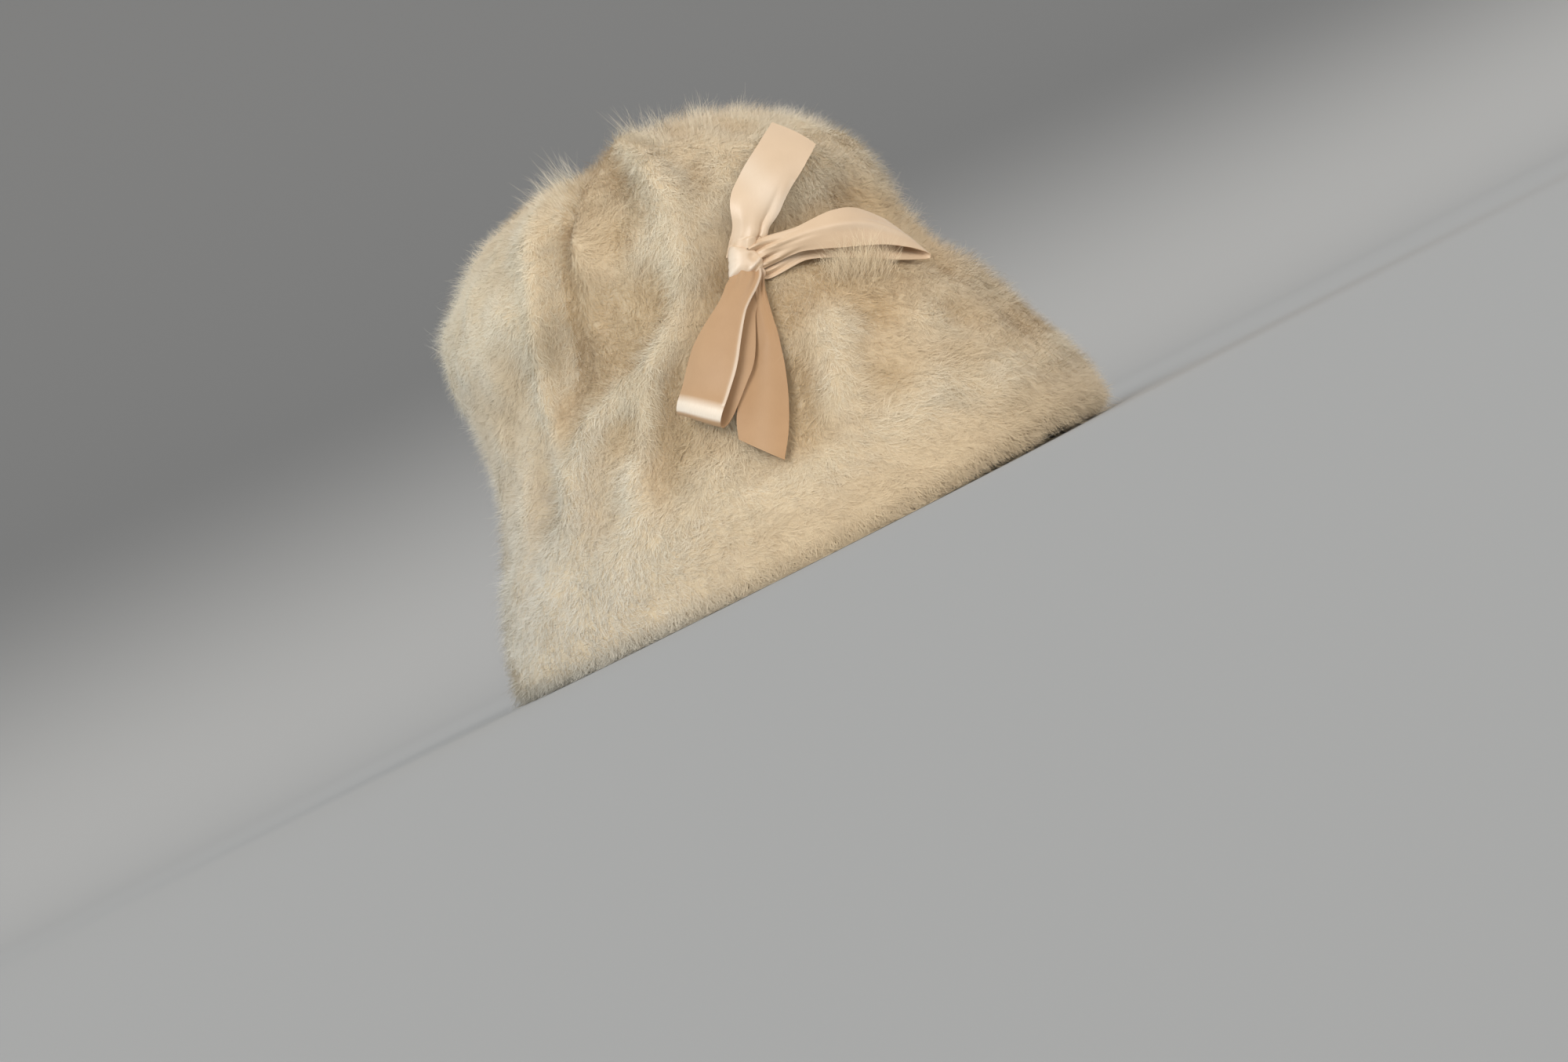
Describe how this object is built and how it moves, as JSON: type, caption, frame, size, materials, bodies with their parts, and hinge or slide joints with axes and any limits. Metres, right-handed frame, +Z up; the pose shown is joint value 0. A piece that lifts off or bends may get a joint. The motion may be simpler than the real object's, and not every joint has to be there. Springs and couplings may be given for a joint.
{
  "type": "long-haired felt cloche hat with a ribbon bow",
  "caption": "Long-haired felt cloche with a draped crown, a flared brim with a thick turned-under edge, and a satin ribbon bow at the front right.",
  "frame": {"origin": "centre of the hat's footprint, on the plane that the rim rests on", "axes": "+Z up through the crown, -Y toward the front of the hat, -X toward the wearer's right, where the bow is"},
  "size_m": [0.2389, 0.2679, 0.178],
  "materials": {
    "felt": "long-haired beige felt, combed and slightly tousled",
    "satin": "peach satin ribbon"
  },
  "bodies": {
    "root": {"hat_body": "felt", "bow_knot": "satin", "bow_tail_up": "satin", "bow_loop_front": "satin", "bow_loop_down": "satin", "bow_tail_down": "satin"}
  },
  "joints": []
}
